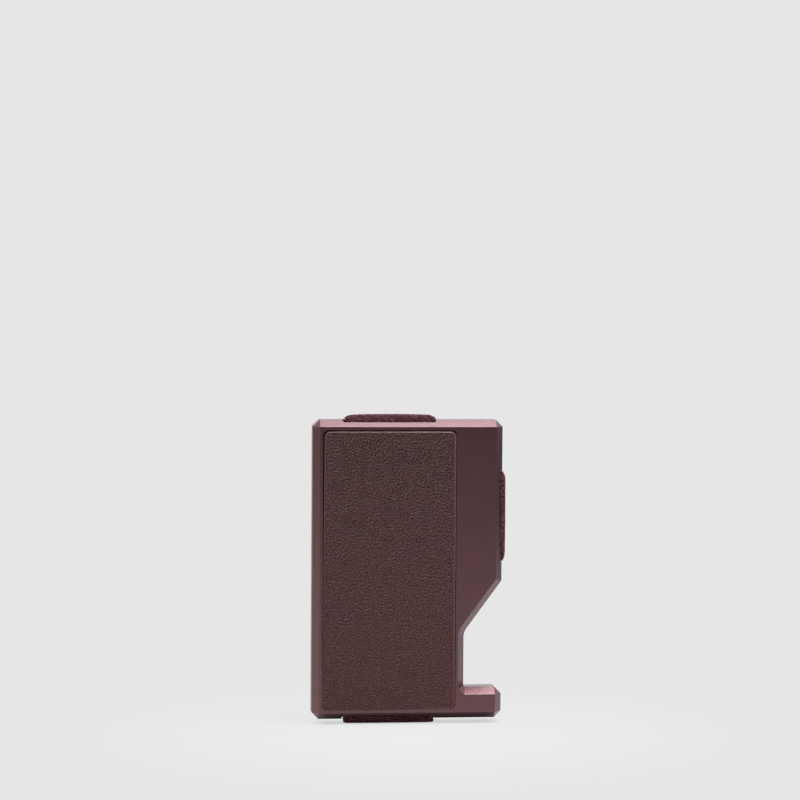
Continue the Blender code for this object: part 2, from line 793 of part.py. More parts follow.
clear_scene()
parts = make_collection("magnetic_card_holder")
cutters = make_collection("cutters")
materials = {name: make_material(name) for name in MATERIALS}
build()
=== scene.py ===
"""Looks of the magnetic card holder, standing upright and empty.

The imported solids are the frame. Both aluminium plates get broken edges, the leather panel
its rolled rim, and the elastics their knit, each as a piece of its own. The pieces inside
keep their solids and get their real finishes.
"""

import math

import bmesh
import bpy
from mathutils import Matrix, Vector, noise
from mathutils.bvhtree import BVHTree


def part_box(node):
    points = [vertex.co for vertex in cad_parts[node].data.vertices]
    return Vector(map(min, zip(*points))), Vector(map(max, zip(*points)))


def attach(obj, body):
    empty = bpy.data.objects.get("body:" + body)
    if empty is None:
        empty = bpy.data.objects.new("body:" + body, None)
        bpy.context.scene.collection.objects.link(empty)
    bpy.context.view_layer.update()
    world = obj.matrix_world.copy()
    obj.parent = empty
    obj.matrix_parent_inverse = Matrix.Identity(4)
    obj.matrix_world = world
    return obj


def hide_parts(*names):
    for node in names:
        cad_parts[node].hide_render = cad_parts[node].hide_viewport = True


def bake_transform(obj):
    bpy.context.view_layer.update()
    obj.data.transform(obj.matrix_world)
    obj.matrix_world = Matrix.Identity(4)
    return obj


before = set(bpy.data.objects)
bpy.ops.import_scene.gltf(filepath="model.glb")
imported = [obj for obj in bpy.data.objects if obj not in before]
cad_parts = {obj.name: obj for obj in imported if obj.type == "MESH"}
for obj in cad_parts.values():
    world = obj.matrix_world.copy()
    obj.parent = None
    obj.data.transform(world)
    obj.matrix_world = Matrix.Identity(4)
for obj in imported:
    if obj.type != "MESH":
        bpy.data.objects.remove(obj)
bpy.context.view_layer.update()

MM = 0.001
FRONT = Vector((0, -1, 0))
ACROSS = Vector((1, 0, 0))
UP = Vector((0, 0, 1))
WELD_DISTANCE = 0.001 * MM


# Materials

# The sockets of a Mix node that mixes colours
FIRST_COLOR, SECOND_COLOR, MIXED_COLOR = 6, 7, 2
# The middle range of noise, beyond which little of it goes
NOISE_LOW, NOISE_HIGH = 0.3, 0.7


def srgb(code):
    """A colour written as #rrggbb, as shaders take it."""
    channels = [int(code[place:place + 2], 16) / 255 for place in (1, 3, 5)]
    linear = [
        value / 12.92 if value <= 0.04045 else ((value + 0.055) / 1.055) ** 2.4
        for value in channels
    ]
    return (*linear, 1)


def add_node(tree, kind, inputs=None, **settings):
    """A node with its settings and what each of its inputs takes.

    That is a value, a socket, a node, which stands for its first output, or a list of these.
    """
    made = tree.nodes.new(kind)
    for name, value in settings.items():
        setattr(made, name, value)
    for socket, given in (inputs or {}).items():
        for value in given if isinstance(given, list) else [given]:
            if isinstance(value, bpy.types.Node):
                value = value.outputs[0]
            if isinstance(value, bpy.types.NodeSocket):
                tree.links.new(value, made.inputs[socket])
            else:
                made.inputs[socket].default_value = value
    return made


def start_material(name):
    """An empty material and its node tree."""
    material = bpy.data.materials.new(name)
    material.use_nodes = True
    material.node_tree.nodes.clear()
    return material, material.node_tree


def finish_material(tree, shader_inputs):
    """The shader of a solid surface, with what each of its sockets takes, and the output."""
    surface = add_node(tree, "ShaderNodeBsdfPrincipled", shader_inputs)
    add_node(tree, "ShaderNodeOutputMaterial", {"Surface": surface})


def anodised_aluminium():
    """Bead-blasted aluminium, dyed burgundy: satin, with a clear oxide skin over the metal."""
    material, tree = start_material("anodised_aluminium")
    place = add_node(tree, "ShaderNodeTexCoord").outputs["Object"]
    # The dye takes a little unevenly over some 14 mm
    cloud = add_node(
        tree, "ShaderNodeTexNoise", {"Vector": place, "Scale": 1 / (14 * MM), "Detail": 3.0}
    )
    uneven = add_node(
        tree, "ShaderNodeMapRange",
        {"Value": cloud, "From Min": NOISE_LOW, "From Max": NOISE_HIGH},
    )
    dye = add_node(
        tree, "ShaderNodeMix",
        {"Factor": uneven, FIRST_COLOR: srgb("#6e444a"), SECOND_COLOR: srgb("#764a51")},
        data_type="RGBA",
    ).outputs[MIXED_COLOR]
    # Blasting leaves pits of some 0.1 mm, drawn at twice that to show
    pits = add_node(
        tree, "ShaderNodeTexNoise",
        {"Vector": place, "Scale": 1 / (0.2 * MM), "Detail": 3.0, "Roughness": 0.6},
    )
    speck = add_node(
        tree, "ShaderNodeMapRange",
        {
            "Value": pits, "From Min": NOISE_LOW, "From Max": NOISE_HIGH,
            "To Min": 0.9, "To Max": 1.0,
        },
    )
    color = add_node(
        tree, "ShaderNodeMix", {"Factor": 1.0, FIRST_COLOR: dye, SECOND_COLOR: speck},
        data_type="RGBA", blend_type="MULTIPLY",
    ).outputs[MIXED_COLOR]
    roughness = add_node(
        tree, "ShaderNodeMapRange",
        {
            "Value": pits, "From Min": NOISE_LOW, "From Max": NOISE_HIGH,
            "To Min": 0.30, "To Max": 0.38,
        },
    )
    relief = add_node(
        tree, "ShaderNodeBump", {"Height": pits, "Distance": 0.006 * MM, "Strength": 0.5}
    )
    finish_material(tree, {
        "Base Color": color, "Metallic": 1.0, "Roughness": roughness, "Normal": relief,
        "Coat Weight": 1.0, "Coat Roughness": 0.25, "Coat IOR": 1.5,
    })
    return material


def pebbled_leather():
    """Fine-grained cowhide, burgundy brown, with small pits and short soft folds."""
    material, tree = start_material("pebbled_leather")
    place = add_node(tree, "ShaderNodeTexCoord").outputs["Object"]
    # The grain runs across the panel, a little uphill, and wanders
    bend = add_node(
        tree, "ShaderNodeTexNoise", {"Vector": place, "Scale": 1 / (3.5 * MM), "Detail": 1.0}
    ).outputs["Color"]
    centred = add_node(
        tree, "ShaderNodeVectorMath", {0: bend, 1: (0.5, 0.5, 0.5)}, operation="SUBTRACT"
    )
    shift = add_node(
        tree, "ShaderNodeVectorMath", {0: centred, "Scale": 0.6 * MM}, operation="SCALE"
    )
    wandering = add_node(tree, "ShaderNodeVectorMath", {0: place, 1: shift})
    on_panel = add_node(tree, "ShaderNodeSeparateXYZ", {"Vector": wandering}).outputs
    flat = add_node(tree, "ShaderNodeCombineXYZ", {"X": on_panel["X"], "Y": on_panel["Z"]})
    # Short folds stand some 1 mm apart, with pores between them
    folds = add_node(
        tree, "ShaderNodeTexGabor",
        {
            "Vector": flat, "Scale": 1 / (1.95 * MM), "Frequency": 2.0, "Anisotropy": 0.4,
            "Orientation": math.radians(114),
        },
    ).outputs["Value"]
    pores = add_node(
        tree, "ShaderNodeTexNoise", {"Vector": flat, "Scale": 1 / (0.32 * MM), "Detail": 0.0},
        noise_dimensions="2D",
    )
    folds_and_pores = add_node(
        tree, "ShaderNodeMath", {0: folds, 1: 1.15, 2: pores}, operation="MULTIPLY_ADD"
    )
    # Towards the foot the grain is drawn flatter, with lower relief and a weaker painted shade and
    # highlight, as the overhead light grazes the upper panel more
    foot, head = 5 * MM, 86 * MM
    lowest = add_node(
        tree, "ShaderNodeMapRange",
        {
            "Value": on_panel["Z"], "From Min": foot, "From Max": head,
            "To Min": 0.35, "To Max": 0.84,
        },
    )
    highest = add_node(
        tree, "ShaderNodeMapRange",
        {
            "Value": on_panel["Z"], "From Min": foot, "From Max": head,
            "To Min": 1.80, "To Max": 1.31,
        },
    )
    height = add_node(
        tree, "ShaderNodeMapRange",
        {"Value": folds_and_pores, "From Min": lowest, "From Max": highest},
    )
    # The pits are painted dark and the raised grain light, a painted shade and highlight of the
    # grain; the hide is uneven over some 6 mm
    cloud = add_node(
        tree, "ShaderNodeTexNoise", {"Vector": place, "Scale": 1 / (6 * MM), "Detail": 3.0}
    )
    hide = add_node(
        tree, "ShaderNodeMapRange",
        {"Value": cloud, "From Min": NOISE_LOW, "From Max": NOISE_HIGH},
    )
    pit = add_node(
        tree, "ShaderNodeMix",
        {"Factor": hide, FIRST_COLOR: srgb("#3c181c"), SECOND_COLOR: srgb("#3d1b1a")},
        data_type="RGBA",
    ).outputs[MIXED_COLOR]
    top = add_node(
        tree, "ShaderNodeMix",
        {"Factor": hide, FIRST_COLOR: srgb("#77464b"), SECOND_COLOR: srgb("#784a46")},
        data_type="RGBA",
    ).outputs[MIXED_COLOR]
    grained = add_node(
        tree, "ShaderNodeMix", {"Factor": height, FIRST_COLOR: pit, SECOND_COLOR: top},
        data_type="RGBA",
    ).outputs[MIXED_COLOR]
    # Its rim is pressed smooth and glossier and is painted paler, a painted highlight along the
    # rolled edge; its cut edge is painted near-black, a painted shade in the groove round the panel
    edge = add_node(tree, "ShaderNodeAttribute", attribute_name="edge_stage").outputs["Fac"]
    rim = add_node(tree, "ShaderNodeMapRange", {"Value": edge})
    cut = add_node(tree, "ShaderNodeMapRange", {"Value": edge, "From Min": 1, "From Max": 2})
    rim_highlighted = add_node(
        tree, "ShaderNodeMix",
        {"Factor": rim, FIRST_COLOR: grained, SECOND_COLOR: srgb("#755150")}, data_type="RGBA",
    ).outputs[MIXED_COLOR]
    color = add_node(
        tree, "ShaderNodeMix",
        {"Factor": cut, FIRST_COLOR: rim_highlighted, SECOND_COLOR: srgb("#120a0b")}, data_type="RGBA",
    ).outputs[MIXED_COLOR]
    grain_roughness = add_node(
        tree, "ShaderNodeMapRange", {"Value": height, "To Min": 0.75, "To Max": 0.44}
    )
    roughness = add_node(
        tree, "ShaderNodeMapRange", {"Value": rim, "To Min": grain_roughness, "To Max": 0.3}
    )
    # The grain is some 0.1 mm deep, drawn deeper to show at a hand's distance
    strength = add_node(tree, "ShaderNodeMapRange", {"Value": rim, "To Min": 1.0, "To Max": 0.15})
    relief = add_node(
        tree, "ShaderNodeBump", {"Height": height, "Distance": 0.4 * MM, "Strength": strength}
    )
    finish_material(tree, {
        "Base Color": color, "Roughness": roughness, "Normal": relief,
        "IOR": 1.5, "Specular IOR Level": 0.45,
    })
    return material


def knitted_polyester():
    """Matt polyester yarn, knitted round rubber: each stitch a little lighter or darker."""
    material, tree = start_material("knitted_polyester")
    place = add_node(tree, "ShaderNodeTexCoord").outputs["Object"]
    tone = add_node(tree, "ShaderNodeAttribute", attribute_name="yarn_tone").outputs["Fac"]
    # Tone 0, on the strap under and between the stitches, is painted near-black as shade in the
    # gaps; the stitches take tones of their own
    dyed = add_node(
        tree, "ShaderNodeMix",
        {"Factor": tone, FIRST_COLOR: srgb("#170105"), SECOND_COLOR: srgb("#ad6573")},
        data_type="RGBA",
    ).outputs[MIXED_COLOR]
    # Filaments of some 0.02 mm, drawn at 0.07 to show
    fibre = add_node(
        tree, "ShaderNodeTexNoise",
        {"Vector": place, "Scale": 1 / (0.07 * MM), "Detail": 2.0, "Roughness": 0.6},
    )
    fleck = add_node(
        tree, "ShaderNodeMapRange",
        {
            "Value": fibre, "From Min": NOISE_LOW, "From Max": NOISE_HIGH,
            "To Min": 0.75, "To Max": 1.1,
        },
    )
    color = add_node(
        tree, "ShaderNodeMix", {"Factor": 1.0, FIRST_COLOR: dyed, SECOND_COLOR: fleck},
        data_type="RGBA", blend_type="MULTIPLY",
    ).outputs[MIXED_COLOR]
    roughness = add_node(
        tree, "ShaderNodeMapRange",
        {
            "Value": fibre, "From Min": NOISE_LOW, "From Max": NOISE_HIGH,
            "To Min": 0.72, "To Max": 0.9,
        },
    )
    relief = add_node(
        tree, "ShaderNodeBump", {"Height": fibre, "Distance": 0.02 * MM, "Strength": 0.6}
    )
    finish_material(tree, {
        "Base Color": color, "Roughness": roughness, "Normal": relief,
        "IOR": 1.5, "Specular IOR Level": 0.3,
        "Sheen Weight": 0.12, "Sheen Roughness": 0.4, "Sheen Tint": srgb("#a04a5c"),
    })
    return material


def brushed_microfibre():
    """Non-slip microfibre pad: a short brushed nap that lies in faint patches of some 9 mm."""
    material, tree = start_material("brushed_microfibre")
    place = add_node(tree, "ShaderNodeTexCoord").outputs["Object"]
    cloud = add_node(
        tree, "ShaderNodeTexNoise",
        {"Vector": place, "Scale": 1 / (9 * MM), "Detail": 3.0, "Roughness": 0.6},
    )
    patches = add_node(
        tree, "ShaderNodeMapRange",
        {"Value": cloud, "From Min": NOISE_LOW, "From Max": NOISE_HIGH},
    )
    brushed = add_node(
        tree, "ShaderNodeMix",
        {"Factor": patches, FIRST_COLOR: srgb("#4b3538"), SECOND_COLOR: srgb("#50393c")},
        data_type="RGBA",
    ).outputs[MIXED_COLOR]
    # Nap fibres of some 0.05 mm, drawn at 0.4 to show
    nap = add_node(
        tree, "ShaderNodeTexNoise",
        {"Vector": place, "Scale": 1 / (0.4 * MM), "Detail": 4.0, "Roughness": 0.75},
    )
    fleck = add_node(
        tree, "ShaderNodeMapRange",
        {"Value": nap, "From Min": 0.35, "From Max": 0.65, "To Min": 0.68, "To Max": 1.2},
    )
    color = add_node(
        tree, "ShaderNodeMix", {"Factor": 1.0, FIRST_COLOR: brushed, SECOND_COLOR: fleck},
        data_type="RGBA", blend_type="MULTIPLY",
    ).outputs[MIXED_COLOR]
    roughness = add_node(
        tree, "ShaderNodeMapRange",
        {
            "Value": nap, "From Min": NOISE_LOW, "From Max": NOISE_HIGH,
            "To Min": 0.85, "To Max": 0.95,
        },
    )
    relief = add_node(
        tree, "ShaderNodeBump", {"Height": nap, "Distance": 0.06 * MM, "Strength": 0.7}
    )
    finish_material(tree, {
        "Base Color": color, "Roughness": roughness, "Normal": relief, "IOR": 1.5,
        "Sheen Weight": 0.5, "Sheen Roughness": 0.35, "Sheen Tint": srgb("#9a7c80"),
    })
    return material


def plain_finish(name, dark, light, smooth, rough, grain, depth, strength, **shader):
    """One even colour with fine marks of its own making, some a grain apart."""
    material, tree = start_material(name)
    place = add_node(tree, "ShaderNodeTexCoord").outputs["Object"]
    marks = add_node(
        tree, "ShaderNodeTexNoise",
        {"Vector": place, "Scale": 1 / grain, "Detail": 3.0, "Roughness": 0.6},
    )
    share = add_node(
        tree, "ShaderNodeMapRange",
        {"Value": marks, "From Min": NOISE_LOW, "From Max": NOISE_HIGH},
    )
    color = add_node(
        tree, "ShaderNodeMix",
        {"Factor": share, FIRST_COLOR: srgb(dark), SECOND_COLOR: srgb(light)},
        data_type="RGBA",
    ).outputs[MIXED_COLOR]
    roughness = add_node(
        tree, "ShaderNodeMapRange", {"Value": share, "To Min": smooth, "To Max": rough}
    )
    relief = add_node(
        tree, "ShaderNodeBump", {"Height": marks, "Distance": depth, "Strength": strength}
    )
    surface = {"Base Color": color, "Roughness": roughness, "Normal": relief}
    finish_material(tree, {**surface, **shader})
    return material


def bare_metal(name, dark, light, smooth, rough, grain):
    """A bare or plated metal, bright, with marks of a few thousandths of a millimetre."""
    return plain_finish(
        name, dark, light, smooth, rough, grain, depth=0.004 * MM, strength=0.4, Metallic=1.0
    )


def dull_polymer(name, dark, light, smooth, rough, grain, ior):
    """A moulded or cast plastic, dull, with a fine even texture."""
    return plain_finish(
        name, dark, light, smooth, rough, grain, depth=0.01 * MM, strength=0.6, IOR=ior
    )


ALUMINIUM = anodised_aluminium()
LEATHER = pebbled_leather()
KNIT = knitted_polyester()
MICROFIBRE = brushed_microfibre()

# Each plain one takes a dark and a light colour, its least and most roughness, and its grain

# Zinc-plated countersunk screws, turned and then tumbled: bright grey
SCREW_STEEL = bare_metal("zinc_plated_steel", "#a9aaac", "#bcbdbf", 0.24, 0.36, 0.4 * MM)
# Cold-rolled strip, grey with the rolls' dull marks
SHUNT_STEEL = bare_metal("cold_rolled_steel", "#9b9ca0", "#adaeb1", 0.30, 0.45, 0.8 * MM)
# Nickel plate over sintered magnet: bright, a little warm
NICKEL = bare_metal("nickel_plate", "#b9b3a8", "#c8c3b8", 0.16, 0.28, 0.5 * MM)
# Moulded nylon 12, nearly black, with a spark-eroded texture of some 0.15 mm
NYLON = dull_polymer("moulded_nylon", "#1b1a1b", "#242223", 0.47, 0.61, 0.15 * MM, 1.53)
# Double-sided acrylic foam film, grey black
FILM = dull_polymer("acrylic_film", "#161517", "#201f21", 0.52, 0.66, 0.6 * MM, 1.49)


# Meshes

# Faces that turn by less than this are one flat face
FLAT_ANGLE = math.radians(1)
# Edges that turn by more than this are rounded, and the others look sharp from the next on
ROUNDED_FROM = math.radians(14)
SHARP_FROM = math.radians(25)
# How close to the piece that hides it an edge stays sharp
HIDDEN_REACH = 1.3 * MM
# How much of the full rounding the finer edges get
FINE_SHARE = 0.4


def new_piece(name, mesh, material):
    """An object of its own, with its material."""
    piece = bpy.data.objects.new(name, mesh)
    bpy.context.scene.collection.objects.link(piece)
    if material:
        mesh.materials.clear()
        mesh.materials.append(material)
    return piece


def make_final(piece):
    """Turns a piece's modifiers into plain mesh."""
    bpy.context.view_layer.update()
    graph = bpy.context.evaluated_depsgraph_get()
    mesh = bpy.data.meshes.new_from_object(piece.evaluated_get(graph))
    piece.modifiers.clear()
    piece.data = mesh
    mesh.name = piece.name


def middle_of(edge):
    """The point half way along an edge."""
    return (edge.verts[0].co + edge.verts[1].co) / 2


def within(point, box):
    """Whether a point lies inside a box, given as its low and high corners."""
    low, high = box
    return all(low[axis] < point[axis] < high[axis] for axis in range(3))


def grown(box, by):
    """A box that is larger by a distance on every side."""
    low, high = box
    step = Vector((by, by, by))
    return low - step, high + step


def break_edges(node, name, width, material, hidden_by=None, covers=(), fine=None):
    """A copy of a solid with its outer edges rounded, as blasting leaves them.

    Edges close to the piece that hides them, or inside the space of a cover, stay sharp.
    Inside the space of fine they are rounded less.
    """
    shape = bmesh.new()
    shape.from_mesh(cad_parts[node].data)
    bmesh.ops.remove_doubles(shape, verts=shape.verts, dist=WELD_DISTANCE)
    bmesh.ops.dissolve_limit(
        shape, angle_limit=FLAT_ANGLE, verts=shape.verts, edges=shape.edges,
        use_dissolve_boundaries=False,
    )
    near = set()
    if hidden_by:
        cover = bmesh.new()
        cover.from_mesh(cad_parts[hidden_by].data)
        surface = BVHTree.FromBMesh(cover)
        near = {
            vertex for vertex in shape.verts
            if surface.find_nearest(vertex.co)[3] < HIDDEN_REACH
        }
        cover.free()
    weight = shape.edges.layers.float.new("bevel_weight_edge")
    for face in shape.faces:
        face.smooth = True
    for edge in shape.edges:
        turn = edge.calc_face_angle(0)
        edge.smooth = turn < SHARP_FROM
        outside = near.isdisjoint(edge.verts)
        clear = not any(within(middle_of(edge), box) for box in covers)
        if turn > ROUNDED_FROM and edge.is_convex and outside and clear:
            edge[weight] = FINE_SHARE if fine and within(middle_of(edge), fine) else 1.0
            edge.smooth = True
    mesh = bpy.data.meshes.new(name)
    shape.to_mesh(mesh)
    shape.free()
    piece = new_piece(name, mesh, material)
    rounding = piece.modifiers.new("broken edges", "BEVEL")
    rounding.limit_method = "WEIGHT"
    rounding.width = width
    rounding.segments = 2
    rounding.use_clamp_overlap = False
    flatness = piece.modifiers.new("flat faces stay flat", "WEIGHTED_NORMAL")
    flatness.keep_sharp = True
    make_final(piece)
    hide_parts(node)
    return piece


# Plates

# How far blasting rounds their edges
PLATE_EDGE = 0.08 * MM
# The space about the elastics, where edges stay sharp, and about the leather, where they
# are rounded less
SURROUND = 0.6 * MM

elastic_boxes = [
    grown(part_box(node), SURROUND)
    for node in ("elastic_band_long", "elastic_band_foot", "elastic_band_side")
]
front_plate = break_edges(
    "front_shell", "front_plate", PLATE_EDGE, ALUMINIUM,
    "front_liner", elastic_boxes, grown(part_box("leather_inlay"), SURROUND),
)
rear_plate = break_edges(
    "rear_shell", "rear_plate", PLATE_EDGE, ALUMINIUM,
    "rear_liner", elastic_boxes,
)
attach(front_plate, "front_half")
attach(rear_plate, "rear_half")


# Leather panel

LEATHER_CORNER = 1.7 * MM
# How far the face stands out before its solid, and how wide its rim rolls
LEATHER_PROUD = 0.22 * MM
RIM_ROLL = 0.42 * MM
# Lines over the rolled rim, in millimetres from the panel's edge
RIM_STEPS = (0.0, 0.02, 0.06, 0.13, 0.25, 0.42, 0.65)
# Only the outermost of them is the cut edge
CUT_EDGE = 0.01 * MM
# Skived thin, the cut edge spreads at the foot of its recess, as far as that lets it
CUT_SPREAD = 0.28 * MM
RECESS_PLAY = 0.35 * MM
# Lines over the hide, which swells softly over some 7 mm and flattens near its rim
HIDE_STEP = 0.65 * MM
HIDE_SWELL = 0.03 * MM
HIDE_PATCH = 7 * MM
HIDE_FADE = 2 * MM
# How far the panel, glued down by hand, closes the gap of its recess towards each side
GROWN_BELOW = 0.36 * MM
GROWN_RIGHT = 0.24 * MM
GROWN_LOW_LEFT = 0.36 * MM
# How soon it meets its recess downwards, how late it parts from it towards the right, and
# how much of the roll is pressed flat there
SNUG_GAIN = 1.3
SNUG_FADE = 6
SNUG_PRESS = 0.75


def rim_spaced(length):
    """Lines across a side: close together at both rims, and even between them."""
    rim = [step * MM for step in RIM_STEPS]
    inner = length - 2 * rim[-1]
    count = round(inner / HIDE_STEP)
    between = [rim[-1] + inner * step / count for step in range(1, count)]
    return rim + between + [length - step for step in reversed(rim)]


def round_corner(x, z, half_x, half_z, radius):
    """Moves a point of a square-cornered panel so that its corners become round."""
    past_x = abs(x) - (half_x - radius)
    past_z = abs(z) - (half_z - radius)
    if past_x <= 0 or past_z <= 0:
        return x, z
    reach = max(past_x, past_z) / math.hypot(past_x, past_z)
    new_x = half_x - radius + past_x * reach
    new_z = half_z - radius + past_z * reach
    return math.copysign(new_x, x), math.copysign(new_z, z)


def shares_of_panel(x, z, half_x, half_z):
    """How far a point lies to the right and how far below, each from 0 to 1."""
    return 0.5 + 0.5 * x / half_x, 0.5 - 0.5 * z / half_z


def snugness(right, low):
    """How closely the rim meets its recess: 1 all along the lower left, 0 above and at the right."""
    return min(1, SNUG_GAIN * low) * (1 - right ** SNUG_FADE)


def panel_depth(x, z, inward, snug):
    """How far the face lies behind its highest level: rolled at the rim, soft between."""
    if inward < RIM_ROLL:
        share = 1 - inward / RIM_ROLL
        return RIM_ROLL * (1 - math.sqrt(1 - share * share)) * (1 - SNUG_PRESS * snug)
    swell = 0.5 + 0.5 * noise.noise(Vector((x, 0, z)) / HIDE_PATCH)
    return -HIDE_SWELL * swell * min(1, (inward - RIM_ROLL) / HIDE_FADE)


def rim_of(grid):
    """The outermost points of a grid, once round it."""
    low = [line[0] for line in grid[:-1]]
    high = [line[-1] for line in grid[:0:-1]]
    return low + grid[-1][:-1] + high + grid[0][:0:-1]


def make_leather():
    """The panel: a rolled, slightly swollen face over a cut edge that spreads in its recess."""
    low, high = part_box("leather_inlay")
    middle = (low + high) / 2
    half_x, half_z = (high.x - low.x) / 2, (high.z - low.z) / 2
    lines_x, lines_z = rim_spaced(2 * half_x), rim_spaced(2 * half_z)
    shape = bmesh.new()
    edge_stage = shape.verts.layers.float.new("edge_stage")
    face, back = [], []
    for from_left in lines_x:
        face.append([])
        back.append([])
        for from_low in lines_z:
            x, z = from_left - half_x, from_low - half_z
            inward = min(half_x - abs(x), half_z - abs(z))
            snug = snugness(*shares_of_panel(x, z, half_x, half_z))
            y = low.y - LEATHER_PROUD + panel_depth(x, z, inward, snug)
            x, z = round_corner(x, z, half_x, half_z, LEATHER_CORNER)
            right, below = shares_of_panel(x, z, half_x, half_z)
            x += GROWN_RIGHT * right - GROWN_LOW_LEFT * below * (1 - right)
            z -= GROWN_BELOW * below
            face[-1].append(shape.verts.new((middle.x + x, y, middle.z + z)))
            # Stage 1 on the rolled rim carries its painted highlight, stage 2 on the cut edge and
            # the back its painted groove shade; both fade where the rim presses snug into its recess
            stage = (inward < RIM_ROLL) + (inward < CUT_EDGE)
            face[-1][-1][edge_stage] = stage * (1 - snug)
            x *= 1 + CUT_SPREAD / half_x
            z *= 1 + CUT_SPREAD / half_z
            x = max(-half_x - RECESS_PLAY, min(half_x + RECESS_PLAY, x))
            z = max(-half_z - RECESS_PLAY, min(half_z + RECESS_PLAY, z))
            back[-1].append(shape.verts.new((middle.x + x, high.y, middle.z + z)))
            back[-1][-1][edge_stage] = 2.0
    for grid in (face, back):
        for line, next_line in zip(grid, grid[1:]):
            for spot in range(len(line) - 1):
                after = spot + 1
                shape.faces.new((line[spot], next_line[spot], next_line[after], line[after]))
    rim = list(zip(rim_of(face), rim_of(back)))
    for (front, rear), (next_front, next_rear) in zip(rim, rim[1:] + rim[:1]):
        shape.faces.new((front, next_front, next_rear, rear))
    bmesh.ops.recalc_face_normals(shape, faces=shape.faces)
    for polygon in shape.faces:
        polygon.smooth = True
    mesh = bpy.data.meshes.new("leather_panel")
    shape.to_mesh(mesh)
    shape.free()
    panel = new_piece("leather_panel", mesh, LEATHER)
    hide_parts("leather_inlay")
    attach(panel, "front_half")


make_leather()


# Elastics

# A strap with its stitches, and how much of that the stitches are
STRAP_THICKNESS = 0.85 * MM
STITCH_RISE = 0.17 * MM
COLUMN_PITCH = 0.85 * MM
ROW_PITCH = 0.65 * MM
STITCH_LENGTH = 0.62 * MM
YARN_RADIUS = 0.20 * MM
STITCH_LEAN = math.radians(20)
# Few, because the arch and its ring are repeated hundreds of times
ARCH_STEPS = 5
YARN_SIDES = 6
# No two stitches are pulled or dyed alike
STITCH_SCALE_LOW, STITCH_SCALE_HIGH = 0.88, 1.08
TONE_LOW, TONE_HIGH = 0.28, 0.9
KNIT_SEED = 11
# The inner side is plain, woven flat round the rubber. The outer side under the stitches keeps tone
# 0, painted near-black as shade in the gaps between them
INNER_TONE = 0.8
# Lines over a rounded selvedge, in millimetres from it
SELVEDGE_STEPS = (0.0, 0.04, 0.12, 0.24)
SELVEDGE_ROUND = 0.45 * MM
# How far a strap falls from its middle to its selvedges, and how much more at its corners
LONG_DROP = 0.32 * MM
SIDE_DROP = 0.1 * MM
CORNER_REACH = 2.2 * MM
CORNER_DROP = 0.6 * MM
# The long band is a little narrower than its slot and lies at the right of it
BAND_SIDE_PLAY = 0.5 * MM
# Pressed on the floor, its lower end is flattened and bows less than the upper one
FOOT_PRESS = 0.25 * MM
LOWER_BOW = 0.4
# Knitted rows that go on past a fold, and plain ones inside the plates
LONG_TAIL_ROWS, SIDE_TAIL_ROWS = 2, 3
LONG_PLAIN_ROWS, SIDE_PLAIN_ROWS = 8, 4


def named_input(tree, name, kind, value=None):
    """A named input of a tree, with the identifier by which a modifier sets it."""
    socket = tree.interface.new_socket(name, in_out="INPUT", socket_type=kind)
    if value is not None:
        socket.default_value = value
    return socket.identifier


